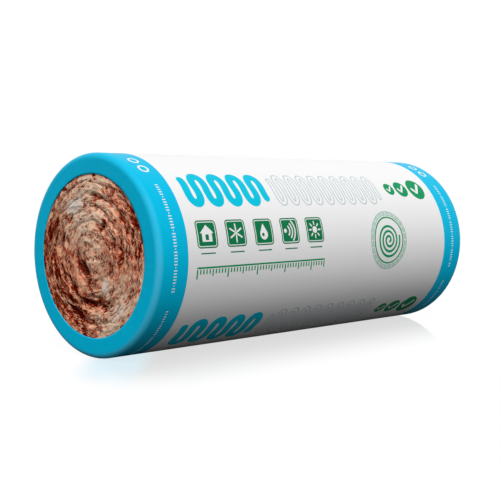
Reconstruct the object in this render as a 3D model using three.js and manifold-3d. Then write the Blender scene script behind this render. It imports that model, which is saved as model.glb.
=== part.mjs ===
// A packed roll of glass mineral wool, lying on its side. One long mat is wound tight on
// itself, and a sleeve of film is pulled over it and shrunk round both rims, where it ends
// in a flat collar that leaves the middle of the coil open as an eye.
//
// Millimetres. +X runs along the roll, +Z is up, and the origin is on the floor below the
// middle of the roll.

import * as THREE from 'three';
import { mergeVertices } from 'three/addons/utils/BufferGeometryUtils.js';
import Module from 'manifold-3d';

const wasm = await Module();
wasm.setup();

// ---- Driving dimensions ---------------------------------------------------------------

const MAT_WIDTH = 1220; // the width of the mat is the length of the wound coil
const MAT_LENGTH = 6150; // 100 thick as it lies when unrolled

const FILM_RADIUS = 245.4; // over the film
const FILM_THICKNESS = 1; // stands in for film of 0.1 mm
const FIT_GAP = 0.3; // between the film and the wool
const RIM_RADIUS = 15; // rounding of the film where it turns over each rim
const EYE_RADIUS = 195; // the opening that each collar leaves

const LAP_WIDTH = 64; // the film laps over itself along the sleeve, and is welded there
const LAP_MIDDLE = THREE.MathUtils.degToRad(25); // from +Y towards +Z, on the back

const CREVICE_DEPTH = 16; // how far the joint between two turns sinks into each end
const CREVICE_MOUTH = 24; // its width in the face of the end
const CREVICE_FLOOR = 2.4; // its width at the bottom, where the turns press together
const CREVICE_START = 25; // radius of the first turn, wound round the mat's folded edge

const FACETS = 72; // flats round the roll, one of them level with the floor
const RIM_STEPS = 2; // half the steps in each quarter turn of a rim
const STEPS_PER_TURN = 32; // along the spiral

// ---- Derived sizes --------------------------------------------------------------------

const COIL_RADIUS = FILM_RADIUS - FILM_THICKNESS - FIT_GAP;
const COIL_HALF = MAT_WIDTH / 2;
const FILM_HALF = COIL_HALF + FIT_GAP + FILM_THICKNESS;
const RIM_CENTRE_RADIUS = FILM_RADIUS - RIM_RADIUS;
const RIM_CENTRE_HALF = FILM_HALF - RIM_RADIUS;

const FACET_ANGLE = (2 * Math.PI) / FACETS;
const AXIS_HEIGHT = FILM_RADIUS * Math.cos(FACET_ANGLE / 2);

// The wound mat fills the round of the coil, so its length gives the pitch of the turns.
const TURN_PITCH = (Math.PI * COIL_RADIUS ** 2) / MAT_LENGTH;

const CREVICE_END = RIM_CENTRE_RADIUS - CREVICE_MOUTH / 2 - 2; // clear of the rounded rim
const CREVICE_TURNS = (CREVICE_END - CREVICE_START) / TURN_PITCH;

// ---- Materials ------------------------------------------------------------------------

const glassWool = new THREE.MeshStandardMaterial({
  name: 'glass_wool',
  color: 0xa87c62,
  roughness: 1,
  metalness: 0,
});

const printedFilm = new THREE.MeshStandardMaterial({
  name: 'printed_film',
  color: 0xeceef0,
  roughness: 0.35,
  metalness: 0,
});

// ---- Solids ---------------------------------------------------------------------------

// A closed three.js geometry as a manifold-3d solid.
function toSolid(geometry) {
  const bare = geometry.index ? geometry.toNonIndexed() : geometry.clone();
  bare.deleteAttribute('normal');
  bare.deleteAttribute('uv');
  const merged = mergeVertices(bare, 1e-3);
  return new wasm.Manifold(
    new wasm.Mesh({
      numProp: 3,
      vertProperties: merged.attributes.position.array,
      triVerts: new Uint32Array(merged.index.array),
    }),
  );
}

// A manifold-3d solid as a three.js geometry.
function toGeometry(solid) {
  const { vertProperties, triVerts } = solid.getMesh();
  const geometry = new THREE.BufferGeometry();
  geometry.setAttribute('position', new THREE.BufferAttribute(vertProperties, 3));
  geometry.setIndex(new THREE.BufferAttribute(triVerts, 1));
  geometry.computeVertexNormals();
  return geometry;
}

// Revolves an outline of (radius, distance along the roll) round the X axis.
function revolve(outline) {
  const lathe = new THREE.LatheGeometry(outline, FACETS, FACET_ANGLE / 2);
  return lathe.rotateZ(-Math.PI / 2);
}

// ---- The wound mat --------------------------------------------------------------------

// The plain coil: a cylinder that follows the inside of the film, rounded at both rims.
function plainCoil() {
  const rim = RIM_RADIUS - FILM_THICKNESS - FIT_GAP;
  const outline = new THREE.Path();
  outline.moveTo(0, -COIL_HALF);
  outline.lineTo(RIM_CENTRE_RADIUS, -COIL_HALF);
  outline.absarc(RIM_CENTRE_RADIUS, -RIM_CENTRE_HALF, rim, -Math.PI / 2, 0);
  outline.lineTo(COIL_RADIUS, RIM_CENTRE_HALF);
  outline.absarc(RIM_CENTRE_RADIUS, RIM_CENTRE_HALF, rim, 0, Math.PI / 2);
  outline.lineTo(0, COIL_HALF);
  return toSolid(revolve(outline.getPoints(RIM_STEPS)));
}

// The line of the joint between two turns, in the plane of an end. It is stepped by equal
// angles, so the tight turns near the middle stay as round as the wide ones.
class WindingLine extends THREE.Curve {
  getPoint(t, target = new THREE.Vector3()) {
    const angle = t * CREVICE_TURNS * 2 * Math.PI;
    const radius = CREVICE_START + t * CREVICE_TURNS * TURN_PITCH;
    return target.set(radius * Math.cos(angle), radius * Math.sin(angle), 0);
  }

  getUtoTmapping(u) {
    return u;
  }
}

// What is taken away between the rounded edges of two turns, for the end that looks along
// +X (side 1) or -X (side -1). The section's first coordinate runs along the roll.
function creviceCutter(side) {
  const mouth = CREVICE_MOUTH / 2;
  const floor = CREVICE_FLOOR / 2;
  const above = side * FIT_GAP;
  const bottom = -side * CREVICE_DEPTH;
  const section = new THREE.Shape();
  section.moveTo(above, -mouth);
  section.lineTo(0, -mouth);
  section.quadraticCurveTo(0, -floor, bottom, -floor);
  section.lineTo(bottom, floor);
  section.quadraticCurveTo(0, floor, 0, mouth);
  section.lineTo(above, mouth);
  section.closePath();
  const cutter = new THREE.ExtrudeGeometry(section, {
    extrudePath: new WindingLine(),
    steps: Math.round(CREVICE_TURNS * STEPS_PER_TURN),
    curveSegments: 3,
  });
  // The winding line's own plane is turned to face along the roll, and moved to the end.
  cutter.rotateY(-Math.PI / 2).translate(side * COIL_HALF, 0, 0);
  return toSolid(cutter);
}

function woolRoll() {
  const coil = plainCoil().subtract(creviceCutter(1)).subtract(creviceCutter(-1));
  const mesh = new THREE.Mesh(toGeometry(coil), glassWool);
  mesh.name = 'wool_roll';
  return mesh;
}

// ---- The film sleeve ------------------------------------------------------------------

// The sleeve without its lap: an even skin from the eye of one collar to the other.
function plainSleeve() {
  const inner = RIM_RADIUS - FILM_THICKNESS;
  const quarter = Math.PI / 2;
  const outline = new THREE.Path();
  outline.moveTo(EYE_RADIUS, -FILM_HALF);
  outline.lineTo(RIM_CENTRE_RADIUS, -FILM_HALF);
  outline.absarc(RIM_CENTRE_RADIUS, -RIM_CENTRE_HALF, RIM_RADIUS, -quarter, 0);
  outline.lineTo(FILM_RADIUS, RIM_CENTRE_HALF);
  outline.absarc(RIM_CENTRE_RADIUS, RIM_CENTRE_HALF, RIM_RADIUS, 0, quarter);
  outline.lineTo(EYE_RADIUS, FILM_HALF);
  outline.lineTo(EYE_RADIUS, FILM_HALF - FILM_THICKNESS);
  outline.lineTo(RIM_CENTRE_RADIUS, FILM_HALF - FILM_THICKNESS);
  outline.absarc(RIM_CENTRE_RADIUS, RIM_CENTRE_HALF, inner, quarter, 0, true);
  outline.lineTo(FILM_RADIUS - FILM_THICKNESS, -RIM_CENTRE_HALF);
  outline.absarc(RIM_CENTRE_RADIUS, -RIM_CENTRE_HALF, inner, 0, -quarter, true);
  outline.lineTo(EYE_RADIUS, -FILM_HALF + FILM_THICKNESS);
  outline.closePath();
  return toSolid(revolve(outline.getPoints(RIM_STEPS)));
}

// The outer layer of the lap, a strip of the same film that follows the flats of the
// sleeve from rim to rim. It bites half its thickness into the skin that it is welded to.
function lapStrip() {
  const flats = Math.round(LAP_WIDTH / (FILM_RADIUS * FACET_ANGLE));
  const start = FACET_ANGLE * (Math.floor(LAP_MIDDLE / FACET_ANGLE - flats / 2) + 0.5);
  const end = start + flats * FACET_ANGLE;
  const section = new THREE.Shape();
  section.absarc(0, 0, FILM_RADIUS + FILM_THICKNESS, start, end);
  section.absarc(0, 0, FILM_RADIUS - FILM_THICKNESS / 2, end, start, true);
  section.closePath();
  const strip = new THREE.ExtrudeGeometry(section, {
    depth: 2 * RIM_CENTRE_HALF,
    curveSegments: flats / 2,
    bevelEnabled: false,
  });
  strip.translate(0, 0, -RIM_CENTRE_HALF);
  return toSolid(strip.rotateX(Math.PI / 2).rotateZ(Math.PI / 2));
}

function filmSleeve() {
  const mesh = new THREE.Mesh(toGeometry(plainSleeve().add(lapStrip())), printedFilm);
  mesh.name = 'film_sleeve';
  return mesh;
}

// ---- The packed roll ------------------------------------------------------------------

const packedRoll = new THREE.Group();
packedRoll.name = 'insulation_roll';
packedRoll.position.z = AXIS_HEIGHT;
packedRoll.add(woolRoll(), filmSleeve());

export default packedRoll;
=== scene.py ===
"""A packed roll of glass wool: a wound mat in a printed film sleeve, lying on a pale floor.

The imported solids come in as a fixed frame. The plain coil is replaced by one whose turned
ends are modelled and tufted, and the plain sleeve by a thin skin of film with its print.
Metres, +X along the roll, +Z up. The near end looks along -X.
"""

import math

import bmesh
import bpy
import numpy as np
from mathutils import Matrix, Vector
from mathutils.geometry import delaunay_2d_cdt


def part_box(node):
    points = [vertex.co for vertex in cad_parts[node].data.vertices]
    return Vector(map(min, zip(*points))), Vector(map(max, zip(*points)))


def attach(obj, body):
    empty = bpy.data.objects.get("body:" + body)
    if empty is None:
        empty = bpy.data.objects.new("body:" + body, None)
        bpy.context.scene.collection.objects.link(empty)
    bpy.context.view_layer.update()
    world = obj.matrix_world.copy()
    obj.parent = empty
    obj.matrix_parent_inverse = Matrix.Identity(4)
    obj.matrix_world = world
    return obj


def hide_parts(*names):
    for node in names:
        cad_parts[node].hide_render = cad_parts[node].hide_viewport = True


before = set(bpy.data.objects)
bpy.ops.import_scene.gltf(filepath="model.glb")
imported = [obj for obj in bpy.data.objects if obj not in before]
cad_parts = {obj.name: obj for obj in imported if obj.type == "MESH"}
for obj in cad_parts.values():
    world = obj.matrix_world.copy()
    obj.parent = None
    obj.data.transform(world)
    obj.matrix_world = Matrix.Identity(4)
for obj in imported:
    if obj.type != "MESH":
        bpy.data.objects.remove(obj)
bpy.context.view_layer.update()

# ---- Sizes taken from the frame ----

film_low, film_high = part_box("film_sleeve")
wool_low, wool_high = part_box("wool_roll")
AXIS_HEIGHT = (film_low.z + film_high.z) / 2
FILM_RADIUS = AXIS_HEIGHT - film_low.z
FILM_HALF = film_high.x
COIL_RADIUS = AXIS_HEIGHT - wool_low.z
COIL_HALF = wool_high.x

# ---- Driving sizes, as in the solids ----

RIM_RADIUS = 0.015  # rounding of the film over each rim
EYE_RADIUS = 0.195  # the opening in each collar
TURN_PITCH = 0.0304
FIRST_TURN = 0.025  # radius of the joint's start, straight above the axis
LAP = (math.radians(17.5), math.radians(32.5))  # from +Y towards +Z

# ---- Sizes of the film in this scene ----

SKIN = 0.0005  # film thickness that shows at the eyes
LAP_STEP = 0.0005
NEAR_BAND = 0.088  # width of the blue print on the side, from each end
FAR_BAND = 0.097

STRAIGHT_HALF = FILM_HALF - RIM_RADIUS
RIM_ARC = RIM_RADIUS * math.pi / 2
COLLAR = FILM_RADIUS - RIM_RADIUS - EYE_RADIUS
SHEET_HALF = STRAIGHT_HALF + RIM_ARC + COLLAR
ROUND = 2 * math.pi * FILM_RADIUS
LAP_WIDTH = FILM_RADIUS * (LAP[1] - LAP[0])
NEAR_EDGE = NEAR_BAND - FILM_HALF  # where the blue print meets the white, along the roll
FAR_EDGE = FILM_HALF - FAR_BAND

# ---- Writing node trees ----


def writes(operation, turned=False):
    """A method of Field that adds a Math node with this operation."""

    def method(field, *others):
        values = (*others, field) if turned else (field, *others)
        return field.nodes.math(operation, *values)

    return method


class Field:
    """What a socket gives out. Sums written with it become Math nodes in its tree."""

    def __init__(self, nodes, socket):
        self.nodes = nodes
        self.socket = socket

    def __neg__(self):
        return self * -1

    __add__ = writes("ADD")
    __radd__ = writes("ADD", turned=True)
    __sub__ = writes("SUBTRACT")
    __rsub__ = writes("SUBTRACT", turned=True)
    __mul__ = writes("MULTIPLY")
    __truediv__ = writes("DIVIDE")
    cos = writes("COSINE")
    sin = writes("SINE")
    root = writes("SQRT")
    size = writes("ABSOLUTE")
    at_least = writes("MAXIMUM")
    at_most = writes("MINIMUM")


class Nodes:
    """Writes one node tree, a node at a time."""

    def __init__(self, tree):
        self.tree = tree

    def node(self, kind, inputs=None, **settings):
        made = self.tree.nodes.new(kind)
        for name, value in settings.items():
            setattr(made, name, value)
        for name, value in (inputs or {}).items():
            self.feed(made.inputs[name], value)
        return made

    def feed(self, socket, value):
        if isinstance(value, Field):
            self.tree.links.new(value.socket, socket)
        else:
            socket.default_value = value

    def out(self, kind, inputs=None, output=0, **settings):
        return Field(self, self.node(kind, inputs, **settings).outputs[output])

    def give(self, **outputs):
        """Ends a group with what it gives out, by name."""
        self.node("NodeGroupOutput", outputs)
        return self.tree

    def math(self, operation, *values):
        return self.out("ShaderNodeMath", dict(enumerate(values)), operation=operation)

    def vector(self, x=0.0, y=0.0, z=0.0):
        return self.out("ShaderNodeCombineXYZ", {"X": x, "Y": y, "Z": z})

    def parts(self, vector):
        made = self.node("ShaderNodeSeparateXYZ", {0: vector})
        return [Field(self, socket) for socket in made.outputs]

    def noise(self, vector, scale, detail=2.0, roughness=0.5):
        """Noise about 0, from -0.5 to 0.5 with steps of detail."""
        inputs = {"Vector": vector, "Scale": scale, "Detail": detail, "Roughness": roughness}
        return self.out("ShaderNodeTexNoise", inputs) - 0.5

    def ease(self, value, start, end, low=0.0, high=1.0):
        """Goes from low to high as value goes from start to end, smoothly."""
        inputs = {0: value, 1: start, 2: end, 3: low, 4: high}
        return self.out("ShaderNodeMapRange", inputs, interpolation_type="SMOOTHSTEP")

    def random(self, low, high, seed, identity):
        """A number between low and high for each identity."""
        inputs = {2: low, 3: high, 7: identity, 8: seed}
        return self.out("FunctionNodeRandomValue", inputs, 1, data_type="FLOAT")

    def moved(self, geometry, **where):
        """A geometry with its points put at a Position, or shifted by an Offset."""
        return self.out("GeometryNodeSetPosition", {"Geometry": geometry, **where})

    def marked(self, geometry, **marks):
        """A geometry that keeps these numbers on its points."""
        for name, value in marks.items():
            inputs = {"Geometry": geometry, "Name": name, "Value": value}
            kind = "GeometryNodeStoreNamedAttribute"
            geometry = self.out(kind, inputs, data_type="FLOAT", domain="POINT")
        return geometry

    def finished(self, geometry, material, where=True):
        """What ends a geometry tree: real geometry, of this material where it is told."""
        real = self.out("GeometryNodeRealizeInstances", {"Geometry": geometry})
        inputs = {"Geometry": real, "Selection": where, "Material": material}
        return self.out("GeometryNodeSetMaterial", inputs)

    def mix(self, blend, weight, one, other):
        """Mixes two colours by Blender's way of this name."""
        inputs = {0: weight, 6: one, 7: other}
        return self.out("ShaderNodeMix", inputs, 2, data_type="RGBA", blend_type=blend)

    def group(self, tree, **inputs):
        """Places a node group and gives its outputs by name."""
        made = self.node(tree.bl_idname.replace("Tree", "Group"), inputs, node_tree=tree)
        return {socket.name: Field(self, socket) for socket in made.outputs}


def new_group(name, inputs, outputs, kind="GeometryNodeTree"):
    """The writer of a new node group, and what comes into it by name. An input is given as
    its usual number or as a kind of socket, and an output as a kind."""
    tree = bpy.data.node_groups.new(name, kind)
    for way, sockets in (("INPUT", inputs), ("OUTPUT", outputs)):
        for label, value in sockets.items():
            numeric = not isinstance(value, str)
            socket = "NodeSocket" + (type(value).__name__.title() if numeric else value)
            made = tree.interface.new_socket(label, in_out=way, socket_type=socket)
            if numeric:
                made.default_value = value
    nodes = Nodes(tree)
    entry = nodes.node("NodeGroupInput")
    return nodes, {socket.name: Field(nodes, socket) for socket in entry.outputs if socket.name}


# ---- Placing pieces ----


def put(name, data):
    """A new object in the scene."""
    made = bpy.data.objects.new(name, data)
    bpy.context.scene.collection.objects.link(made)
    return made


def flat_mesh(name, points, faces):
    """A mesh that lies at the height of 0."""
    mesh = bpy.data.meshes.new(name)
    mesh.from_pydata([(x, y, 0.0) for x, y in points], [], faces)
    return mesh


def show(name, mesh, slot, *nodes):
    """Puts a finished mesh in the scene as a piece that rides on the roll."""
    piece = put(name, mesh)
    mesh.name = name
    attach(piece, "root")
    if nodes:
        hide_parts(*nodes)
    return piece


def grow(tree, mesh=None, **values):
    """Runs a geometry tree on a mesh and gives back the plain mesh that it makes."""
    start = put("start", mesh or bpy.data.meshes.new("start"))
    modifier = start.modifiers.new("grow", "NODES")
    modifier.node_group = tree
    for item in tree.interface.items_tree:
        key = item.name.replace(" ", "_")
        if item.in_out == "INPUT" and key in values:
            modifier[item.identifier] = values[key]
    depsgraph = bpy.context.evaluated_depsgraph_get()
    made = bpy.data.meshes.new_from_object(
        start.evaluated_get(depsgraph), preserve_all_data_layers=True, depsgraph=depsgraph
    )
    bpy.data.objects.remove(start)
    return made


# ---- The film wrapped on the coil ----

SLACK = 0.001  # height of the long waves on the side
PUCKER = 0.0016  # height of the folds on a collar
FLATTENED = 0.0002  # how far the film gives where the roll lies on it
RAGGED = 0.05  # how much more or less one place of a collar shrank than another
LAP_EDGE = 0.004  # radians beside each edge of the lap in which the film rises to it
WELD = 1e-5  # points of the sheet closer than this become one


def film_relief_group():
    """How far the film stands off its even round: long slack waves on the side, puckers
    where the collar shrank, the step of the lap, and less where the roll lies on it. Along
    is the place along the sheet from its middle, and Turn the angle from straight up
    towards +Y."""
    nodes, given = new_group("film_relief", {"Along": 0.0, "Turn": 0.0}, {"Lift": "Float"})
    along, turn = given["Along"], given["Turn"]
    up = turn.cos() * FILM_RADIUS
    aside = turn.sin() * FILM_RADIUS
    past_rim = along.size() - STRAIGHT_HALF
    slack = nodes.noise(nodes.vector(along * 0.35, up, aside), 9.0, 1.0) * SLACK
    on_side = nodes.ease(past_rim, -0.06, 0.0, 1.0, 0.0)
    on_collar = nodes.ease(past_rim, 0.004, RIM_ARC + COLLAR)
    puckers = nodes.noise(nodes.vector(up, aside, along * 0.2), 62.0) * on_collar * PUCKER
    from_y = math.pi / 2 - turn
    past_start = nodes.ease(from_y, LAP[0] - LAP_EDGE, LAP[0] + LAP_EDGE / 4)
    before_end = nodes.ease(from_y, LAP[1] - LAP_EDGE / 4, LAP[1] + LAP_EDGE, 1.0, 0.0)
    to_rim = nodes.ease(past_rim, -0.004, RIM_ARC, 1.0, 0.0)
    resting = nodes.ease(turn.cos(), -0.94, -0.995)
    lap = past_start * before_end * to_rim * LAP_STEP
    lift = slack * on_side * (1.0 - resting) + puckers + lap
    return nodes.give(Lift=lift - resting * FLATTENED)


def wrap_group(film_relief):
    """Takes a place on the flat sheet (along it from its middle, round it from straight up
    towards +Y, and height over it) to where it lies on the wrapped and shrunk sleeve."""
    nodes, given = new_group("wrap_on_coil", {"Flat": "Vector"}, {"Wrapped": "Vector"})
    along, round_it, height = nodes.parts(given["Flat"])
    turn = round_it / FILM_RADIUS
    reach = along.size()
    past_rim = (reach - STRAIGHT_HALF).at_least(0.0)
    bend = (past_rim / RIM_RADIUS).at_most(math.pi / 2)
    inwards = (past_rim - RIM_ARC).at_least(0.0)
    relief = nodes.group(film_relief, Along=along, Turn=turn)["Lift"]
    off_centre = RIM_RADIUS + height + relief
    x = nodes.math("SIGN", along) * (reach.at_most(STRAIGHT_HALF) + off_centre * bend.sin())
    at_edge = nodes.vector(along, turn.cos() * 0.2, turn.sin() * 0.2)
    shrunk = inwards * (1.0 + nodes.noise(at_edge, 25.0) * RAGGED)
    radius = (FILM_RADIUS - RIM_RADIUS) + off_centre * bend.cos() - shrunk
    z = AXIS_HEIGHT + radius * turn.cos()
    return nodes.give(Wrapped=nodes.vector(x, radius * turn.sin(), z))


def skin_tree(wrap):
    """Wraps the flat sheet on the coil, closes it where it meets itself and colours it."""
    nodes, given = new_group(
        "sleeve_skin",
        {
            "Sheet": "Geometry", "Near edge": NEAR_EDGE, "Far edge": FAR_EDGE,
            "White film": "Material", "Blue film": "Material",
        },
        {"Skin": "Geometry"},
    )
    place = nodes.out("GeometryNodeInputPosition")
    laid = nodes.moved(given["Sheet"], Position=nodes.group(wrap, Flat=place)["Wrapped"])
    closed = nodes.out("GeometryNodeMergeByDistance", {"Geometry": laid, "Distance": WELD})
    smooth = nodes.out("GeometryNodeSetShadeSmooth", {"Geometry": closed})
    white = nodes.finished(smooth, given["White film"])
    along = nodes.parts(place)[0]
    before = nodes.math("LESS_THAN", along, given["Near edge"])
    after = nodes.math("GREATER_THAN", along, given["Far edge"])
    return nodes.give(Skin=nodes.finished(white, given["Blue film"], before + after))


def stops(*stretches):
    """Places in order, from (end, steps) stretches that follow a first place."""
    places = [stretches[0]]
    for end, steps in stretches[1:]:
        start = places[-1]
        places += [start + (end - start) * (i + 1) / steps for i in range(steps)]
    return places


def flat_sheet():
    """The sheet of film before it is wrapped, with its rows close together at the rims, the
    collars and the lap."""
    half = stops(0.0, (STRAIGHT_HALF - NEAR_BAND, 24), (STRAIGHT_HALF, 6),
                 (STRAIGHT_HALF + RIM_ARC, 8), (SHEET_HALF, 9))
    rows = sorted({round(v, 6) for v in [*half, *(-v for v in half), NEAR_EDGE, FAR_EDGE]})
    lap_start = FILM_RADIUS * (math.pi / 2 - LAP[1])
    step = 0.0012  # half the stretch in which the sheet rises on the lap
    columns = stops(lap_start - step, (lap_start + step, 2), (lap_start + LAP_WIDTH - step, 16),
                    (lap_start + LAP_WIDTH + step, 2), (lap_start - step + ROUND, 340))
    points = [(x, y) for x in rows for y in columns]
    wide = len(columns)
    faces = [
        (i * wide + j, (i + 1) * wide + j, (i + 1) * wide + j + 1, i * wide + j + 1)
        for i in range(len(rows) - 1)
        for j in range(wide - 1)
    ]
    return flat_mesh("flat_sheet", points, faces)


def film_sleeve(wrap, white_film, blue_film):
    skin = grow(skin_tree(wrap), flat_sheet(), White_film=white_film, Blue_film=blue_film)
    piece = show("film", skin, "printed_film", "film_sleeve")
    wall = piece.modifiers.new("thickness", "SOLIDIFY")
    wall.thickness = SKIN
    wall.offset = -1.0
    wall.use_even_offset = False


# ---- Drawing the print flat ----
# Drawings lie as they are read: x runs from the near end along the roll, y runs up from the
# line straight above the axis, so what shows on the front lies below 0.

INK = 0.00015
SLICE = 0.006
TOUCHING = 1e-7  # drawn points closer than this become one


def arc(x, y, radius, start=0.0, end=360.0, steps=40):
    """Points of an arc between two angles in degrees, or of a whole circle."""
    angles = [math.radians(start + (end - start) * i / steps) for i in range(steps + 1)]
    if abs(end - start) == 360.0:
        angles.pop()
    return [(x + radius * math.cos(a), y + radius * math.sin(a)) for a in angles]


def box(x0, y0, x1, y1):
    return [(x0, y0), (x1, y0), (x1, y1), (x0, y1)]


def rounded_box(x, y, width, height, corner):
    """Its centre is at x, y."""
    a, b = width / 2 - corner, height / 2 - corner
    return [
        point
        for sx, sy, start in ((1, 1, 0), (-1, 1, 90), (-1, -1, 180), (1, -1, 270))
        for point in arc(x + sx * a, y + sy * b, corner, start, start + 90, 6)
    ]


def stroke(points, width):
    """The outline of a line of this width along the points, with round ends."""
    line = np.array(points, float)
    run = np.gradient(line, axis=0)
    run /= np.linalg.norm(run, axis=1)[:, None]
    across = np.stack([-run[:, 1], run[:, 0]], 1) * width / 2
    ends = []
    for at, way in ((-1, 1), (0, -1)):
        turned = math.degrees(math.atan2(way * run[at, 1], way * run[at, 0]))
        ends.append(arc(*line[at], width / 2, turned + 90, turned - 90, 8)[1:-1])
    return [*map(tuple, line + across), *ends[0], *map(tuple, (line - across)[::-1]), *ends[1]]


def bar(x0, y0, x1, y1, width):
    return stroke([(x0, y0), (x1, y1)], width)


def rays(x, y, degrees, inner, outer, width):
    """Bars that point away from x, y in these directions."""
    ways = [(math.cos(math.radians(a)), math.sin(math.radians(a))) for a in degrees]
    return [bar(x + inner * c, y + inner * s, x + outer * c, y + outer * s, width) for c, s in ways]


def filled(outlines):
    """A flat mesh of what lies within an odd number of the outlines, cut into slices along
    the roll so that it can bend round the sleeve."""
    points, edges = [], []
    for outline in outlines:
        first = len(points)
        points += outline
        count = len(outline)
        edges += [(first + i, first + (i + 1) % count) for i in range(count)]
    low, high = np.min(points, axis=0), np.max(points, axis=0)
    for level in np.arange(math.ceil(low[1] / SLICE), high[1] / SLICE) * SLICE:
        edges.append((len(points), len(points) + 1))
        points += [(low[0] - SLICE, level), (high[0] + SLICE, level)]
    found = delaunay_2d_cdt([Vector(p) for p in points], edges, [], 0, TOUCHING)
    places = np.array([tuple(v) for v in found[0]])
    triangles = np.array(found[2])
    middles = places[triangles].mean(1)
    inside = np.zeros(len(middles), bool)
    for outline in outlines:
        a = np.array(outline)
        b = np.roll(a, -1, 0)
        rises = (a[:, 1] > middles[:, 1, None]) != (b[:, 1] > middles[:, 1, None])
        with np.errstate(divide="ignore", invalid="ignore"):
            slope = (b[:, 0] - a[:, 0]) / (b[:, 1] - a[:, 1])
            crossing = a[:, 0] + (middles[:, 1, None] - a[:, 1]) * slope
        inside ^= (rises & (middles[:, 0, None] < crossing)).sum(1) % 2 == 1
    triangles = triangles[inside]
    used, triangles = np.unique(triangles, return_inverse=True)
    return flat_mesh("print", places[used] - (FILM_HALF, 0.0), triangles.reshape(-1, 3).tolist())


def print_tree(wrap):
    """Gives a flat drawing the thickness of ink, repeats it round the sheet, and wraps it."""
    nodes, given = new_group(
        "print_on_sleeve",
        {
            "Drawing": "Geometry", "Repeats": 4, "Spacing": ROUND / 4, "Thickness": INK,
            "Material": "Material",
        },
        {"Print": "Geometry"},
    )
    inputs = {
        "Mesh": given["Drawing"], "Offset": nodes.vector(z=1.0),
        "Offset Scale": given["Thickness"], "Individual": False,
    }
    raised = nodes.out("GeometryNodeExtrudeMesh", inputs)
    under = nodes.out("GeometryNodeFlipFaces", {"Mesh": given["Drawing"]})
    joined = nodes.node("GeometryNodeJoinGeometry")
    for geometry in (raised, under):
        nodes.feed(joined.inputs[0], geometry)
    inputs = {"Geometry": Field(nodes, joined.outputs[0]), "Distance": INK / 10}
    layer = nodes.out("GeometryNodeMergeByDistance", inputs)
    offset = nodes.vector(y=-given["Spacing"])
    rows = nodes.out("GeometryNodeMeshLine", {"Count": given["Repeats"], "Offset": offset})
    copies = nodes.out("GeometryNodeInstanceOnPoints", {"Points": rows, "Instance": layer})
    flat = nodes.out("GeometryNodeRealizeInstances", {"Geometry": copies})
    place = nodes.out("GeometryNodeInputPosition")
    laid = nodes.moved(flat, Position=nodes.group(wrap, Flat=place)["Wrapped"])
    return nodes.give(Print=nodes.finished(laid, given["Material"]))


# ---- The drawings ----
# Positions and sizes are metres on the flat sheet.

ROW_Y = -0.212  # the middle of the hatch and of the ticks
ROW_HEIGHT = 0.104
PRINT_START = 0.118  # where the hatch and the scale begin


def hatch(x, periods, period, width):
    """The winding line that stands for insulation on drawings, cut off within its first
    and last slanted stretches."""
    cut = 0.13  # of a period, at each end
    lean = 0.11 * period
    points_in_period = 36
    swing = (ROW_HEIGHT - width) / 2
    line = []
    for t in np.linspace(cut, periods - cut, round(periods * points_in_period)):
        swayed = x + period * t + lean * math.sin(4 * math.pi * t)
        line.append((swayed, ROW_Y + swing * math.cos(2 * math.pi * t)))
    return line


def cyan_hatch():
    width = 0.023
    return [stroke(hatch(PRINT_START, 4.5, 0.064, width), width)]


def grey_hatch():
    """A finer winding line, of which only the outline is drawn."""
    outer, inner = 0.016, 0.0088
    line = hatch(0.424, 9.5, 0.0468, outer)
    return [stroke(line, outer), stroke(line, inner)]


def house(x, y):
    walls = [(-0.016, -0.018), (0.016, -0.018), (0.016, 0.002), (0.022, 0.002), (0.0, 0.022),
             (-0.022, 0.002), (-0.016, 0.002)]
    door = box(-0.005, -0.014, 0.005, -0.001)
    return [[(x + a, y + b) for a, b in part] for part in (walls, door)]


def snow(x, y):
    return [*rays(x, y, range(30, 390, 60), 0.006, 0.021, 0.0045), arc(x, y, 0.0035, steps=12)]


def sound(x, y):
    source = x - 0.017
    waves = [stroke(arc(source, y, r, -42, 42, 14), 0.0046) for r in (0.016, 0.026, 0.036)]
    return [arc(source, y, 0.0055, steps=16), *waves]


def drop(x, y):
    belly = arc(x, y - 0.006, 0.0135, 150, 390, 24)
    return [[(x, y + 0.021), *belly], arc(x - 0.003, y - 0.007, 0.0045, steps=14)]


def sun(x, y):
    return [arc(x, y, 0.009, steps=24), *rays(x, y, range(0, 360, 45), 0.014, 0.021, 0.0042)]


def tiles():
    """Five framed tiles, each with a white sign and a rule below it."""
    y = -0.33
    spacing = 0.096
    frames = ((0.066, 0.01), (0.0596, 0.007), (0.055, 0.005))  # side and corner
    rule_half, rule_below, rule_width = 0.022, 0.045, 0.003
    drawn = []
    for i, sign in enumerate((house, snow, drop, sound, sun)):
        x = 0.151 + i * spacing
        drawn += [rounded_box(x, y, side, side, corner) for side, corner in frames]
        drawn += sign(x, y)
        rule_y = y - rule_below
        drawn.append(bar(x - rule_half, rule_y, x + rule_half, rule_y, rule_width))
    return drawn


def scale():
    """A row of marks one centimetre apart under a rule."""
    y = -0.408
    width = 0.004  # of the rule and of the marks
    centimetres = 45
    drawn = [bar(PRINT_START, y, PRINT_START + 0.01 * centimetres, y, width)]
    for i in range(centimetres + 1):
        x = PRINT_START + 0.01 * i
        length = 0.026 if i % 10 == 0 else 0.02 if i % 5 == 0 else 0.015
        drawn.append(box(x - width / 2, y - length, x + width / 2, y - width))
    return drawn


def ticks():
    """Three ticked discs of rising size."""
    drawn = []
    for x, radius in ((0.925, 0.021), (0.982, 0.028), (1.056, 0.037)):
        mark = np.array([(-0.48, 0.0), (-0.14, -0.38), (0.52, 0.44)]) * radius + (x, ROW_Y)
        dense = [mark[k] + (mark[k + 1] - mark[k]) * t / 6 for k in (0, 1) for t in range(6)]
        drawn += [arc(x, ROW_Y, radius), stroke([*dense, mark[2]], 0.26 * radius)]
    return drawn


BADGE = (0.85, -0.368)


def badge_circle(radius):
    return arc(*BADGE, radius, steps=90)


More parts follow.
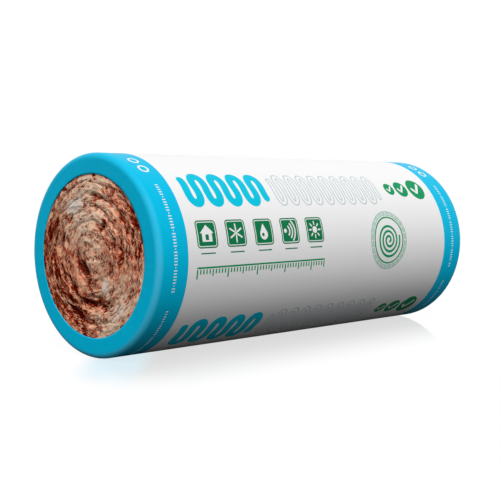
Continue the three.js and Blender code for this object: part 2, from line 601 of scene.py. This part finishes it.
def badge():
    """A roll seen from its end, in a ring."""
    coil = []
    for t in np.linspace(0.0, 1.0, 121):
        angle = math.radians(-60 + 3.2 * 360 * t)
        radius = 0.005 + 0.045 * t
        coil.append((BADGE[0] + radius * math.cos(angle), BADGE[1] + radius * math.sin(angle)))
    return [badge_circle(0.0668), badge_circle(0.0624), stroke(coil, 0.0066)]


def badge_lines():
    return [badge_circle(radius) for radius in (0.07, 0.0714, 0.0808, 0.0825)]


def badge_rim():
    """A pale ring between the badge's outer lines, broken into studs."""
    stud = 13  # degrees of the 15 from one stud to the next
    drawn = []
    for start in range(0, 360, 15):
        outer = arc(*BADGE, 0.0805, start, start + stud, 4)
        inner = arc(*BADGE, 0.0717, start + stud, start, 4)
        drawn.append([*outer, *inner])
    return drawn


def band_marks():
    """Two rings, a run of marks and a finer run along the middle of each blue band."""
    mark_half, mark_spacing = 0.0013, 0.007
    drawn = []
    for x in (0.05, 2 * FILM_HALF - 0.054):
        for y in (-0.1, -0.141):
            drawn += [arc(x, y, 0.0145), arc(x, y, 0.0095)]
        for first, count, wide in ((-0.2, 38, 0.0095), (-0.51, 26, 0.0065)):
            for i in range(count):
                y = first - mark_spacing * i
                half = wide / 2 if i % 6 != 5 else mark_half
                drawn.append(box(x - half, y - mark_half, x + half, y + mark_half))
    return drawn


def prints(wrap, inks):
    tree = print_tree(wrap)
    for name, repeats, drawing in (
        ("hatch", 4, cyan_hatch()),
        ("hatch_outline", 4, grey_hatch()),
        ("ticks", 4, ticks()),
        ("badge", 2, badge()),
        ("badge_lines", 2, badge_lines()),
        ("badge_rim", 2, badge_rim()),
        ("scale", 2, scale()),
        ("tiles", 2, tiles()),
        ("band_marks", 2, band_marks()),
    ):
        spacing = ROUND / repeats
        mesh = grow(tree, filled(drawing), Material=inks[name], Repeats=repeats, Spacing=spacing)
        show(f"print_{name}", mesh, "printed_film")


# ---- The turned ends of the wool ----
# Each end is made in a frame of its own: x to the right and y up as it is seen, z out of it,
# and its origin where the roll's axis meets the end.

NEAR_END = Matrix(((0, 0, -1, -COIL_HALF), (-1, 0, 0, 0), (0, 1, 0, AXIS_HEIGHT), (0, 0, 0, 1)))
FAR_END = Matrix(((0, 0, 1, COIL_HALF), (1, 0, 0, 0), (0, 1, 0, AXIS_HEIGHT), (0, 0, 0, 1)))
ENDS = {"near": (NEAR_END, 1.0), "far": (FAR_END, -1.0)}  # and which way the turns run

DISC_RADIUS = 0.205  # of the modelled part of an end, reaching under the collar
DISC_STEPS = 150
UNDER_COLLAR = 0.0014  # how deep the wool lies there
CREVICE_DEPTH = 0.0115  # less than in the solids, as knots and pits add to it here
LOCK_DEPTH = 0.005  # from the gaps between locks of wool to their crowns
KNOT_DEPTH = 0.007  # of the swellings that are broader than a lock
WANDER = 0.034  # how far the joint between the turns strays from its even spiral
FRAY = 0.03  # how far the outline of a spot strays
LOCK_TONE_AND_SHADE = 1.6  # how much paler the crown of a lock is than a gap, the gap darker partly from binder and partly as painted shade

# Spots where the wool of an end is paler or darker, most of the darker ones sunk: right and
# # up from its middle, the way the spot runs, half its length and width, how much paler it is,
# # and how deep it sinks. The broadest make the near end paler at the top and darker at the
# # lower left.
SPOTS = (
    (-0.065, 0.122, 30, 0.045, 0.02, 0.53, -0.002),
    (0.055, -0.071, 70, 0.024, 0.017, 0.8, -0.003),
    (-0.03, 0.072, 20, 0.07, 0.045, 0.35, -0.002),
    (0.0, -0.004, 60, 0.034, 0.024, 0.41, -0.002),
    (0.105, -0.125, 45, 0.07, 0.03, 0.55, -0.002),
    (-0.085, 0.16, 35, 0.06, 0.016, 0.25, 0.0),
    (0.0, 0.172, 0, 0.08, 0.022, 0.19, 0.0),
    (0.0, 0.125, 0, 0.12, 0.06, 0.25, 0.0),
    (0.0, -0.165, 0, 0.07, 0.03, 0.16, 0.0),
    (0.035, 0.072, 35, 0.016, 0.007, -1.24, 0.014),
    (0.08, 0.033, 30, 0.013, 0.008, -1.03, 0.012),
    (-0.03, -0.036, -45, 0.036, 0.012, -0.83, 0.013),
    (-0.078, -0.08, -50, 0.04, 0.011, -0.9, 0.014),
    (-0.005, -0.114, 0, 0.062, 0.01, -0.9, 0.014),
    (-0.066, -0.144, -25, 0.038, 0.016, -1.17, 0.018),
    (0.126, 0.072, -60, 0.05, 0.02, -0.42, 0.007),
    (0.165, 0.08, -60, 0.05, 0.016, -0.5, 0.007),
    (0.112, -0.004, -85, 0.03, 0.018, -0.35, 0.007),
    (0.112, 0.146, -45, 0.045, 0.018, -0.3, 0.004),
    (-0.152, 0.05, 70, 0.04, 0.022, -0.57, 0.006),
    (-0.155, -0.05, 95, 0.07, 0.03, -0.39, 0.003),
    (0.02, 0.133, 10, 0.03, 0.01, -0.55, 0.007),
    (-0.1, -0.105, -45, 0.11, 0.055, -0.36, 0.0),
)


def soft_spot_group():
    """How strongly a soft oval spot acts on a place: 1 in its middle, nothing far off."""
    nodes, given = new_group(
        "soft_spot",
        {"Place": "Vector", "Middle": "Vector", "Run": 0.0, "Length": 0.02, "Width": 0.01},
        {"Weight": "Float"},
    )
    x, y, _ = nodes.parts(given["Place"])
    middle_x, middle_y, _ = nodes.parts(given["Middle"])
    x, y = x - middle_x, y - middle_y
    c, s = given["Run"].cos(), given["Run"].sin()
    along = (x * c + y * s) / given["Length"]
    across = (y * c - x * s) / given["Width"]
    return nodes.give(Weight=nodes.math("EXPONENT", -(along * along + across * across)))


def turns_group():
    """The surface of a turned end at a place on it: its height, how deep it lies in a
    crevice, from 0 to 1, how much paler than usual it is, and how the locks of wool lie,
    below 0 in a gap and above it on a lock. The crevice follows the joint between the
    turns, and the locks lie along them but for the crumpled middle."""
    nodes, given = new_group(
        "turns",
        {"Place": "Vector", "Winding": 1.0},
        {"Height": "Float", "Hollow": "Float", "Pale": "Float", "Lock": "Float"},
    )
    spot = soft_spot_group()
    x, y, _ = nodes.parts(given["Place"])
    flat = nodes.vector(x, y, given["Winding"] * 0.37)  # a level of noise for each end
    spread = nodes.vector(x, y, given["Winding"] * 0.91)
    radius = (x * x + y * y).root()
    warped = radius + nodes.noise(flat, 10.0) * WANDER
    start = given["Winding"] * (nodes.math("ARCTAN2", y, x) - math.pi / 2) / (2 * math.pi)
    turn = (warped - FIRST_TURN) / TURN_PITCH - start
    across = (nodes.math("FRACT", turn) - 0.5).size() * 2
    crown = (1.0 - across * across).at_least(0.0).root()
    gape = nodes.ease(nodes.noise(flat, 12.0), -0.12, 0.16, 0.12, 1.0)
    hollow = (1.0 - crown) * gape
    frayed_x = x + nodes.noise(flat, 38.0) * FRAY
    frayed_y = y + nodes.noise(spread, 38.0) * FRAY
    facing = nodes.vector(frayed_x * given["Winding"], frayed_y * given["Winding"])
    pale = pit = 0.0
    for spot_x, spot_y, run, length, width, tone, depth in SPOTS:
        weight = nodes.group(
            spot, Place=facing, Middle=(spot_x, spot_y, 0.0), Run=math.radians(run),
            Length=length, Width=width,
        )["Weight"]
        pale = pale + weight * tone
        pit = pit + weight * depth
    along_turns = nodes.vector(x * 0.45, y * 0.45, warped)
    in_turns = nodes.ease(radius, 0.03, 0.1)
    combed = nodes.noise(along_turns, 130.0, 2.0, 0.6)
    crumpled = nodes.noise(flat, 80.0, 2.0, 0.6)
    lock = (combed * in_turns + crumpled * (1.0 - in_turns)) * 2.2
    knots = nodes.noise(flat, 42.0)
    in_eye = nodes.ease(radius, EYE_RADIUS - 0.014, EYE_RADIUS - 0.001, 1.0, 0.0)
    felted = nodes.ease(pale, 0.04, 0.4, 1.0, 0.6)
    wound = lock * LOCK_DEPTH + knots * KNOT_DEPTH - hollow * CREVICE_DEPTH
    swell = (wound * felted - pit) * in_eye
    height = swell - (1.0 - in_eye) * UNDER_COLLAR
    return nodes.give(Height=height, Hollow=hollow, Pale=pale, Lock=lock)


def end_tree(turns):
    """A round grid of even faces, raised into the turns of one end."""
    nodes, given = new_group(
        "turned_end",
        {"Radius": DISC_RADIUS, "Steps": DISC_STEPS, "Winding": 1.0, "Material": "Material"},
        {"End": "Geometry"},
    )
    count = given["Steps"] + 1
    inputs = {"Size X": 2.0, "Size Y": 2.0, "Vertices X": count, "Vertices Y": count}
    grid = nodes.out("GeometryNodeMeshGrid", inputs)
    place = nodes.out("GeometryNodeInputPosition")
    u, v, _ = nodes.parts(place)
    x = given["Radius"] * u * (1.0 - v * v * 0.5).root()
    y = given["Radius"] * v * (1.0 - u * u * 0.5).root()
    disc = nodes.moved(grid, Position=nodes.vector(x, y))
    surface = nodes.group(turns, Place=place, Winding=given["Winding"])
    # pale on the locks and dark in the gaps between them, partly as painted shade
    tone = surface["Lock"] * LOCK_TONE_AND_SHADE + 0.35
    kept = nodes.marked(disc, hollow=surface["Hollow"], pale=surface["Pale"], tone=tone)
    raised = nodes.moved(kept, Offset=nodes.vector(z=surface["Height"]))
    return nodes.give(End=nodes.finished(raised, given["Material"]))


def join_rings(shape, one, other):
    count = len(one)
    for i in range(count):
        j = (i + 1) % count
        shape.faces.new((one[i], one[j], other[j], other[i]))


def wool_coil(turns, wool):
    """The whole coil as one closed mesh: two turned ends, and the plain round between them
    that lies under the film."""
    tree = end_tree(turns)
    shape = bmesh.new()
    rings = []
    for place, winding in ENDS.values():
        end = grow(tree, Winding=winding, Material=wool)
        end.transform(place)
        before = len(shape.verts)
        shape.from_mesh(end)
        shape.verts.ensure_lookup_table()
        edge = [v for v in shape.verts[before:] if v.is_boundary]
        rings.append(sorted(edge, key=lambda v: math.atan2(v.co.y, v.co.z - AXIS_HEIGHT)))
    rounding = RIM_RADIUS - (FILM_RADIUS - COIL_RADIUS)
    bend_at = COIL_RADIUS - rounding
    profile = [(COIL_HALF - rounding * (1 - math.cos(a)), bend_at + rounding * math.sin(a))
               for a in (math.radians(d) for d in (0, 30, 60, 90))]
    stations = [(-x, r) for x, r in profile] + [(x, r) for x, r in reversed(profile)]
    last = rings[0]
    for x, radius in stations:
        ring = []
        for v in rings[0]:
            out = Vector((0.0, v.co.y, v.co.z - AXIS_HEIGHT)).normalized() * radius
            ring.append(shape.verts.new((x, out.y, out.z + AXIS_HEIGHT)))
        join_rings(shape, last, ring)
        last = ring
    join_rings(shape, last, rings[1])
    bmesh.ops.recalc_face_normals(shape, faces=shape.faces)
    mesh = bpy.data.meshes.new("wool")
    shape.to_mesh(mesh)
    shape.free()
    mesh.shade_smooth()
    mesh.materials.append(wool)
    piece = show("wool", mesh, "glass_wool", "wool_roll")


# ---- Locks and fibres on the ends ----

STRAND_REACH = EYE_RADIUS - 0.0018  # strands stay within this radius

STRANDS = {  # and where they differ from the tree's own values, which make the locks
    "locks": {},
    "tufts": dict(Locks=450, Spread=0.0034, Shortest=0.024, Longest=0.045, Width=0.0024,
                  Waviness=0.008, Variety=1.1),
    "fibres": dict(Locks=2300, Hairs=1, Spread=0.0, Shortest=0.014, Width=0.0008, Flatness=0.8,
                   Slant=1.2, Rise=0.002, Waviness=0.012, Paleness=0.1, Variety=0.4),
}


def strands_tree(turns):
    """Hairs of wool laid along the turns in locks. A lock has its own place, length, slant,
    bow and tone, and its hairs stray a little from them. A lock that rises higher is paler, as
    painted shade on those that lie low. Each hair is a line that follows the surface and is
    then given its thickness."""
    nodes, given = new_group(
        "strands",
        {
            "Locks": 1250, "Hairs": 6, "Points": 5, "Spread": 0.0024, "Shortest": 0.018,
            "Longest": 0.036, "Width": 0.0019, "Flatness": 0.25, "Slant": 0.8, "Rise": 0.001,
            "Waviness": 0.006, "Paleness": 0.0, "Variety": 1.0, "Winding": 1.0, "Seed": 0,
            "Material": "Material",
        },
        {"Strands": "Geometry"},
    )
    hair = nodes.out("GeometryNodeInputIndex")
    lock = nodes.math("FLOOR", (hair + 0.5) / given["Hairs"])

    def of_lock(low, high, number):
        return nodes.random(low, high, given["Seed"] + number, lock)

    def of_hair(low, high, number):
        return nodes.random(low, high, given["Seed"] + number, hair)

    def kept(name):
        return nodes.out("GeometryNodeInputNamedAttribute", {"Name": name}, data_type="FLOAT")

    middle = (of_lock(0.0, 1.0, 1).root() * STRAND_REACH).at_least(0.003)
    bearing = of_lock(-math.pi, math.pi, 2)
    spot = nodes.vector(middle * bearing.cos(), middle * bearing.sin())
    under = nodes.group(turns, Place=spot, Winding=given["Winding"])
    unruly = nodes.ease(middle, 0.02, 0.11, 2.6, 1.0)
    calm = nodes.ease(middle, EYE_RADIUS - 0.02, EYE_RADIUS - 0.003, 1.0, 0.25)
    calm = calm * nodes.ease(under["Pale"], 0.04, 0.4, 1.0, 0.4)
    # the second term shares its seed with the rise below, so locks that lie lower are darker:
    # painted shade
    odd = of_lock(-0.8, 0.8, 8) + of_lock(-0.55, 0.55, 7) + of_hair(-0.12, 0.12, 17)
    # the tone follows the locks under the strand, with painted shade in the gaps
    tone = 0.5 + given["Paleness"] + under["Lock"] * LOCK_TONE_AND_SHADE + odd * given["Variety"]
    length = of_lock(given["Shortest"], given["Longest"], 3)
    shift = of_hair(-0.3, 0.3, 12) * length
    slant = of_lock(-1.0, 1.0, 4) * of_lock(0.0, 1.0, 5) * given["Slant"] * unruly
    rise = of_lock(0.0, 1.0, 7) * 0.7 + of_hair(0.0, 0.5, 16)
    points = nodes.marked(
        nodes.out("GeometryNodePoints", {"Count": given["Locks"] * given["Hairs"]}),
        from_middle=middle + of_hair(-1.0, 1.0, 11) * given["Spread"],
        angle=bearing + shift / middle.at_least(0.02),
        length=length * of_hair(0.6, 1.1, 13),
        slant=slant + of_hair(-0.25, 0.25, 14) * unruly,
        bow=of_lock(-0.14, 0.14, 6) + of_hair(-0.06, 0.06, 15),
        rise=rise * given["Rise"] * calm,
        tone=tone,
        thick=of_hair(0.6, 1.3, 18),
    )
    line = nodes.out("GeometryNodeCurvePrimitiveLine", {"Start": (-0.5, 0, 0), "End": (0.5, 0, 0)})
    line = nodes.out("GeometryNodeResampleCurve", {"Curve": line, "Count": given["Points"]})
    copies = nodes.out("GeometryNodeInstanceOnPoints", {"Points": points, "Instance": line})
    lines = nodes.out("GeometryNodeRealizeInstances", {"Geometry": copies})

    # Laid along the turns, with the place along the hair, from -0.5 to 0.5, kept as z.
    place = nodes.out("GeometryNodeInputPosition")
    along = nodes.parts(place)[0]
    reach = along * kept("length")
    arch = 1.0 - along * along * 4
    radius = kept("from_middle") + reach * kept("slant") + arch * kept("bow") * kept("length")
    angle = kept("angle") + reach / kept("from_middle").at_least(0.014)
    x = radius * angle.cos()
    y = radius * angle.sin()
    wave = nodes.vector(x, y, kept("tone") * 3)
    x = x + nodes.noise(wave, 90.0, 1.0) * given["Waviness"]
    y = y + nodes.noise(wave, 91.7, 1.0) * given["Waviness"]
    laid = nodes.moved(lines, Position=nodes.vector(x, y, along))

    # Brought within the eye and up to the surface.
    x, y, along = nodes.parts(place)
    past_reach = ((x * x + y * y).root() / STRAND_REACH).at_least(1.0)
    x, y = x / past_reach, y / past_reach
    surface = nodes.group(turns, Place=nodes.vector(x, y), Winding=given["Winding"])
    arch = 1.0 - along * along * 4
    taper = arch.at_least(0.03).root()
    marked = nodes.marked(laid, hollow=surface["Hollow"], pale=surface["Pale"], taper=taper)
    z = surface["Height"] + kept("rise") * arch - given["Width"] * 0.25
    raised = nodes.moved(marked, Position=nodes.vector(x, y, z))
    level = nodes.out("GeometryNodeSetCurveNormal", {"Curve": raised}, mode="Z_UP")
    circle = nodes.out("GeometryNodeCurvePrimitiveCircle", {"Resolution": 3, "Radius": 0.5})
    pressed = nodes.vector(given["Flatness"], 1.0, 1.0)
    inputs = {"Geometry": circle, "Rotation": (0.0, 0.0, math.pi / 2), "Scale": pressed}
    section = nodes.out("GeometryNodeTransform", inputs)
    thickness = given["Width"] * kept("thick") * kept("taper")
    inputs = {"Curve": level, "Profile Curve": section, "Scale": thickness, "Fill Caps": True}
    solid = nodes.out("GeometryNodeCurveToMesh", inputs)
    return nodes.give(Strands=nodes.finished(solid, given["Material"]))


def strands(turns, wool):
    tree = strands_tree(turns)
    for side, (place, winding) in ENDS.items():
        for number, (kind, sizes) in enumerate(STRANDS.items()):
            seed = 100 * number + (17 if side == "near" else 43)
            mesh = grow(tree, Winding=winding, Seed=seed, Material=wool, **sizes)
            mesh.transform(place)
            mesh.shade_smooth()
            show(f"{side}_{kind}", mesh, "glass_wool")


# ---- Materials ----

WHITE = (0.93, 0.928, 0.932)
BLUE = (0.0, 0.55, 0.85)
PAINTED_RIM_HIGHLIGHT = (1.0, 0.6, 0.4, 1.0)  # the colour of a painted highlight over the rims
INKS = {  # with what is printed in each
    "cyan": ((0.0, 0.575, 0.78), ("hatch",)),
    "grey": ((0.54, 0.63, 0.66), ("hatch_outline",)),
    "green": ((0.001, 0.31, 0.115), ("ticks", "badge", "scale")),
    "dark_green": ((0.003, 0.2, 0.072), ("tiles",)),
    "pale_green": ((0.26, 0.52, 0.4), ("badge_lines",)),
    "mist_green": ((0.55, 0.7, 0.62), ("badge_rim",)),
    "white": ((0.9, 0.93, 0.95), ("band_marks",)),
}


def new_material(name, group, bump, specular, marks=(), **values):
    """A material whose Principled shader shows what a look group gives out. Bump is (strength,
    depth), and marks are the numbers on the mesh that the group takes in."""
    material = bpy.data.materials.new(name)
    material.use_nodes = True
    nodes = Nodes(material.node_tree)
    shader = nodes.tree.nodes["Principled BSDF"].inputs
    for mark in marks:
        values[mark.title()] = nodes.out("ShaderNodeAttribute", output="Fac", attribute_name=mark)
    place = nodes.out("ShaderNodeTexCoord", output="Object")
    look = nodes.group(group, Place=place, **values)
    relief = {"Height": look["Height"], "Strength": bump[0], "Distance": bump[1]}
    nodes.feed(shader["Base Color"], look["Color"])
    nodes.feed(shader["Roughness"], look.get("Roughness", WOOL_ROUGHNESS))
    nodes.feed(shader["Normal"], nodes.out("ShaderNodeBump", relief))
    shader["Specular IOR Level"].default_value = specular
    return material


def drawn_film_group():
    """What drawn polyethylene film has all over: faint clouds in its colour, streaks in its
    shine and a fine waviness that runs round the roll. Over the rims it has a painted
    highlight, strongest on their lower side."""
    nodes, given = new_group(
        "drawn_film",
        {"Place": "Vector", "Color": "Color", "Clouding": 0.04, "Roughness": 0.35},
        {"Color": "Color", "Roughness": "Float", "Height": "Float"},
        "ShaderNodeTree",
    )
    x, y, z = nodes.parts(given["Place"])
    up = z - AXIS_HEIGHT
    clouds = nodes.noise(given["Place"], 7.0, 3.0)
    shade = nodes.vector(*[1.0 + clouds * given["Clouding"]] * 3)
    even = nodes.mix("MULTIPLY", 1.0, given["Color"], shade)
    outwards = (y * y + up * up).root() / RIM_RADIUS + (1.0 - FILM_RADIUS / RIM_RADIUS)
    endwards = (x.size() - STRAIGHT_HALF) / RIM_RADIUS
    on_rim = outwards.at_least(0.0) * endwards.at_least(0.0) * 2
    # a painted highlight over the rims, fainter towards the top
    painted_highlight = on_rim * nodes.ease(up + clouds * 0.2, 0.2, -0.05, 0.2, 1.0)
    drawn = nodes.vector(x * 6, y, z)
    streaks = nodes.noise(drawn, 24.0, 3.0)
    return nodes.give(
        Color=nodes.mix("ADD", painted_highlight * 0.06, even, PAINTED_RIM_HIGHLIGHT),
        Roughness=given["Roughness"] + streaks * 0.1,
        Height=nodes.noise(drawn, 30.0),
    )


def film_material(name, group, colour, roughness=0.42, clouding=0.06, specular=0.05):
    values = dict(Color=(*colour, 1.0), Roughness=roughness, Clouding=clouding)
    return new_material(name, group, (0.12, 0.0004), specular, **values)


WOOL_COLOURS = (  # from the bottom of a crevice to the palest lock
    (0.03, (0.148, 0.009, 0.002)),
    (0.24, (0.335, 0.044, 0.018)),
    (0.4, (0.61, 0.138, 0.067)),
    (0.5, (0.79, 0.238, 0.133)),
    (0.6, (0.935, 0.358, 0.214)),
    (0.76, (1.0, 0.523, 0.337)),
    (1.0, (1.0, 0.738, 0.538)),
)
WOOL_ROUGHNESS = 0.9
BARE_GLASS = (1.0, 0.9, 0.82, 1.0)  # where the binder has not browned the wool
BINDER = (1.0, 0.76, 0.63, 1.0)  # what is left of the colour where there is most of it


def wool_tone_group():
    """The colour of wool at a place: streaks along the turns between brown and cream, darker
    in the crevices as painted shade, in broad pale and dark patches, and nearly white in the
    palest."""
    nodes, given = new_group(
        "wool_tone",
        {"Place": "Vector", "Tone": 0.5, "Spread": 0.0, "Hollow": 0.0, "Pale": 0.0},
        {"Color": "Color", "Height": "Float"},
        "ShaderNodeTree",
    )
    x, y, z = nodes.parts(given["Place"])
    up = z - AXIS_HEIGHT
    level_place = nodes.vector(x, y, up)
    radius = (y * y + up * up).root()
    strayed = radius + nodes.noise(level_place, 55.0) * 0.03
    grain = nodes.vector(y * 0.4, up * 0.4, radius + x * 0.5)
    streaks = nodes.noise(grain, 170.0, 3.0, 0.65)
    threads = nodes.noise(nodes.vector(y * 0.2, up * 0.2, strayed), 800.0, 2.0, 0.6)
    clumps = nodes.noise(nodes.vector(y * 0.6, up * 0.6, strayed), 80.0)
    patches = nodes.noise(level_place, 20.0, 1.0)
    dark = (-given["Pale"]).at_least(0.0)
    light = given["Pale"].at_least(0.0)

    # How far each of these takes the wool up or down its colours.
    uneven = streaks * 0.9 + threads * 0.7 + (given["Tone"] - 0.5) * given["Spread"]
    level = patches * 1.8 + clumps * (2.2 + light * 3.0) + uneven * (1.0 + dark * 1.5 + light)
    # Hollow darkens the crevices as painted shade.
    level = level + given["Pale"] * 1.4 - dark * 0.4 - given["Hollow"] * 0.5
    ramp = nodes.node("ShaderNodeValToRGB", {"Fac": 0.75 + level * 0.82})
    steps = ramp.color_ramp.elements
    while len(steps) < len(WOOL_COLOURS):
        steps.new(0.5)
    for step, (position, colour) in zip(steps, WOOL_COLOURS):
        step.position = position
        step.color = (*colour, 1.0)

    bare = nodes.ease(given["Pale"] + streaks * 0.5, 0.39, 0.68, 0.0, 0.8)
    bound = nodes.ease(given["Pale"], -0.5, 0.4, 1.0, 0.0)
    browned = nodes.mix("MULTIPLY", bound, Field(nodes, ramp.outputs["Color"]), BINDER)
    colour = nodes.mix("MIX", bare, browned, BARE_GLASS)
    return nodes.give(Color=colour, Height=streaks + threads * 0.6)


# ---- Stage, light and camera ----

SKY = 0.54  # light from all round above, where 1 lights white to white
KEY = 0.594  # light from the side that the camera stands on, likewise
KEY_HEIGHT = 42.9  # degrees
KEY_TURN = 36.7  # degrees from -Y towards -X
KEY_SPREAD = 31  # degrees
CAMERA_PLACE = (-2.0914, -1.9545, 0.4001)
CAMERA_DOWN = 3.3195  # degrees below the level
CAMERA_TURN = 45.974  # degrees from +Y towards +X

FLOOR_REACH = 30.0
FLOOR_GLOW = 0.96  # what the floor shows wherever it lies
FLOOR_LIT = 0.06  # what it shows of the light on it, so that the shadow can be seen
FLOOR_CAST = 0.075  # what it throws back on the roll
MIRROR = 0.28  # strength of the mirror image
MIRROR_BLUE = 0.11  # its strength where the floor shows the painted reflection of the near band instead
PAINTED_BAND_REFLECTION = (0.8, 0.95, 1.02, 1.0)
ALL_WHITE = (1.0, 1.0, 1.0, 1.0)


def empty_tree(owner):
    """The writer of the node tree of a material or world, with nothing in it."""
    owner.use_nodes = True
    owner.node_tree.nodes.clear()
    return Nodes(owner.node_tree)


def floor():
    """A pale floor that keeps the shadow and a faint mirror image of the roll. The image
    fades with the distance from the roll, and below the near band it gives way to a painted
    blue reflection of that band."""
    corners = box(-FLOOR_REACH, -FLOOR_REACH, FLOOR_REACH, FLOOR_REACH)
    mesh = flat_mesh("floor", corners, [(0, 1, 2, 3)])
    put("floor", mesh)
    material = bpy.data.materials.new("floor")
    nodes = empty_tree(material)
    x, y, _ = nodes.parts(nodes.out("ShaderNodeNewGeometry"))
    slantwise = x * 0.695 - y * 0.719  # along a level line at 46 degrees to the roll
    before_side = nodes.ease(y, -0.5, -0.13)
    before_end = nodes.ease(x, -FILM_HALF - 0.27, -FILM_HALF + 0.02)
    before_corner = nodes.ease(slantwise, -0.46, -0.38)
    beside_band = nodes.ease(slantwise, -0.32, -0.265, 1.0, 0.0)
    behind_side = nodes.ease(y, 0.2, 0.6, 1.0, 0.0)
    behind_end = nodes.ease(x, FILM_HALF, FILM_HALF + 0.4, 1.0, 0.0)
    near = before_side * before_end * before_corner
    # where the floor has the painted blue reflection of the near band
    blue = near * beside_band
    tinted = nodes.mix("MIX", blue, ALL_WHITE, PAINTED_BAND_REFLECTION)
    glow = nodes.out("ShaderNodeEmission", {"Color": tinted, "Strength": FLOOR_GLOW})
    lit = nodes.out("ShaderNodeBsdfDiffuse", {"Color": (*[FLOOR_LIT] * 3, 1.0)})
    pale = nodes.out("ShaderNodeAddShader", {0: lit, 1: glow})
    mirror = nodes.out("ShaderNodeBsdfGlossy", {"Color": ALL_WHITE, "Roughness": 0.06})
    share = near * behind_side * behind_end * (MIRROR - blue * (MIRROR - MIRROR_BLUE))
    shiny = nodes.out("ShaderNodeMixShader", {0: share, 1: pale, 2: mirror})
    dark = nodes.out("ShaderNodeBsdfDiffuse", {"Color": (*[FLOOR_CAST] * 3, 1.0)})
    seen = nodes.out("ShaderNodeLightPath", output="Is Camera Ray")
    shown = nodes.out("ShaderNodeMixShader", {0: seen, 1: dark, 2: shiny})
    nodes.node("ShaderNodeOutputMaterial", {"Surface": shown})
    mesh.materials.append(material)


def sky():
    """Even light all round, and plain white where the camera or a shiny surface looks."""
    world = bpy.data.worlds.new("sky")
    bpy.context.scene.world = world
    nodes = empty_tree(world)
    direct = nodes.out("ShaderNodeLightPath", output="Is Camera Ray")
    reflected = nodes.out("ShaderNodeLightPath", output="Is Glossy Ray")
    light = nodes.out("ShaderNodeBackground", {"Color": ALL_WHITE, "Strength": SKY})
    white = nodes.out("ShaderNodeBackground", {"Color": ALL_WHITE, "Strength": 1.0})
    mixed = nodes.out("ShaderNodeMixShader", {0: direct.at_least(reflected), 1: light, 2: white})
    nodes.node("ShaderNodeOutputWorld", {"Surface": mixed})


def key_light():
    """A broad soft light from the camera's side."""
    data = bpy.data.lights.new("key", "SUN")
    data.energy = KEY * math.pi
    data.angle = math.radians(KEY_SPREAD)
    lamp = put("key", data)
    turn, rise = math.radians(KEY_TURN), math.radians(KEY_HEIGHT)
    level = math.cos(rise)
    towards = Vector((-math.sin(turn) * level, -math.cos(turn) * level, math.sin(rise)))
    lamp.rotation_euler = towards.to_track_quat("Z", "Y").to_euler()


def camera():
    data = bpy.data.cameras.new("camera")
    data.sensor_width = 36.0
    data.lens = 73.74
    data.clip_end = 100.0
    stand = put("camera", data)
    stand.location = CAMERA_PLACE
    stand.rotation_euler = (math.radians(90 - CAMERA_DOWN), 0.0, math.radians(-CAMERA_TURN))
    bpy.context.scene.camera = stand


# ---- Putting it together ----

camera()
sky()
key_light()
floor()

film_group = drawn_film_group()
white_film = film_material("white_film", film_group, WHITE, clouding=0.02, specular=0.2)
blue_film = film_material("blue_film", film_group, BLUE, roughness=0.4)
inks = {}
for ink, (colour, prints_in_it) in INKS.items():
    material = film_material(f"{ink}_ink", film_group, colour)
    inks.update(dict.fromkeys(prints_in_it, material))
marks = ("hollow", "tone", "pale")
wool = new_material("wool", wool_tone_group(), (0.25, 0.002), 0.0, marks, Spread=1.2)

wrap = wrap_group(film_relief_group())
film_sleeve(wrap, white_film, blue_film)
prints(wrap, inks)
turns = turns_group()
wool_coil(turns, wool)
strands(turns, wool)

bpy.context.scene.view_settings.view_transform = "Standard"
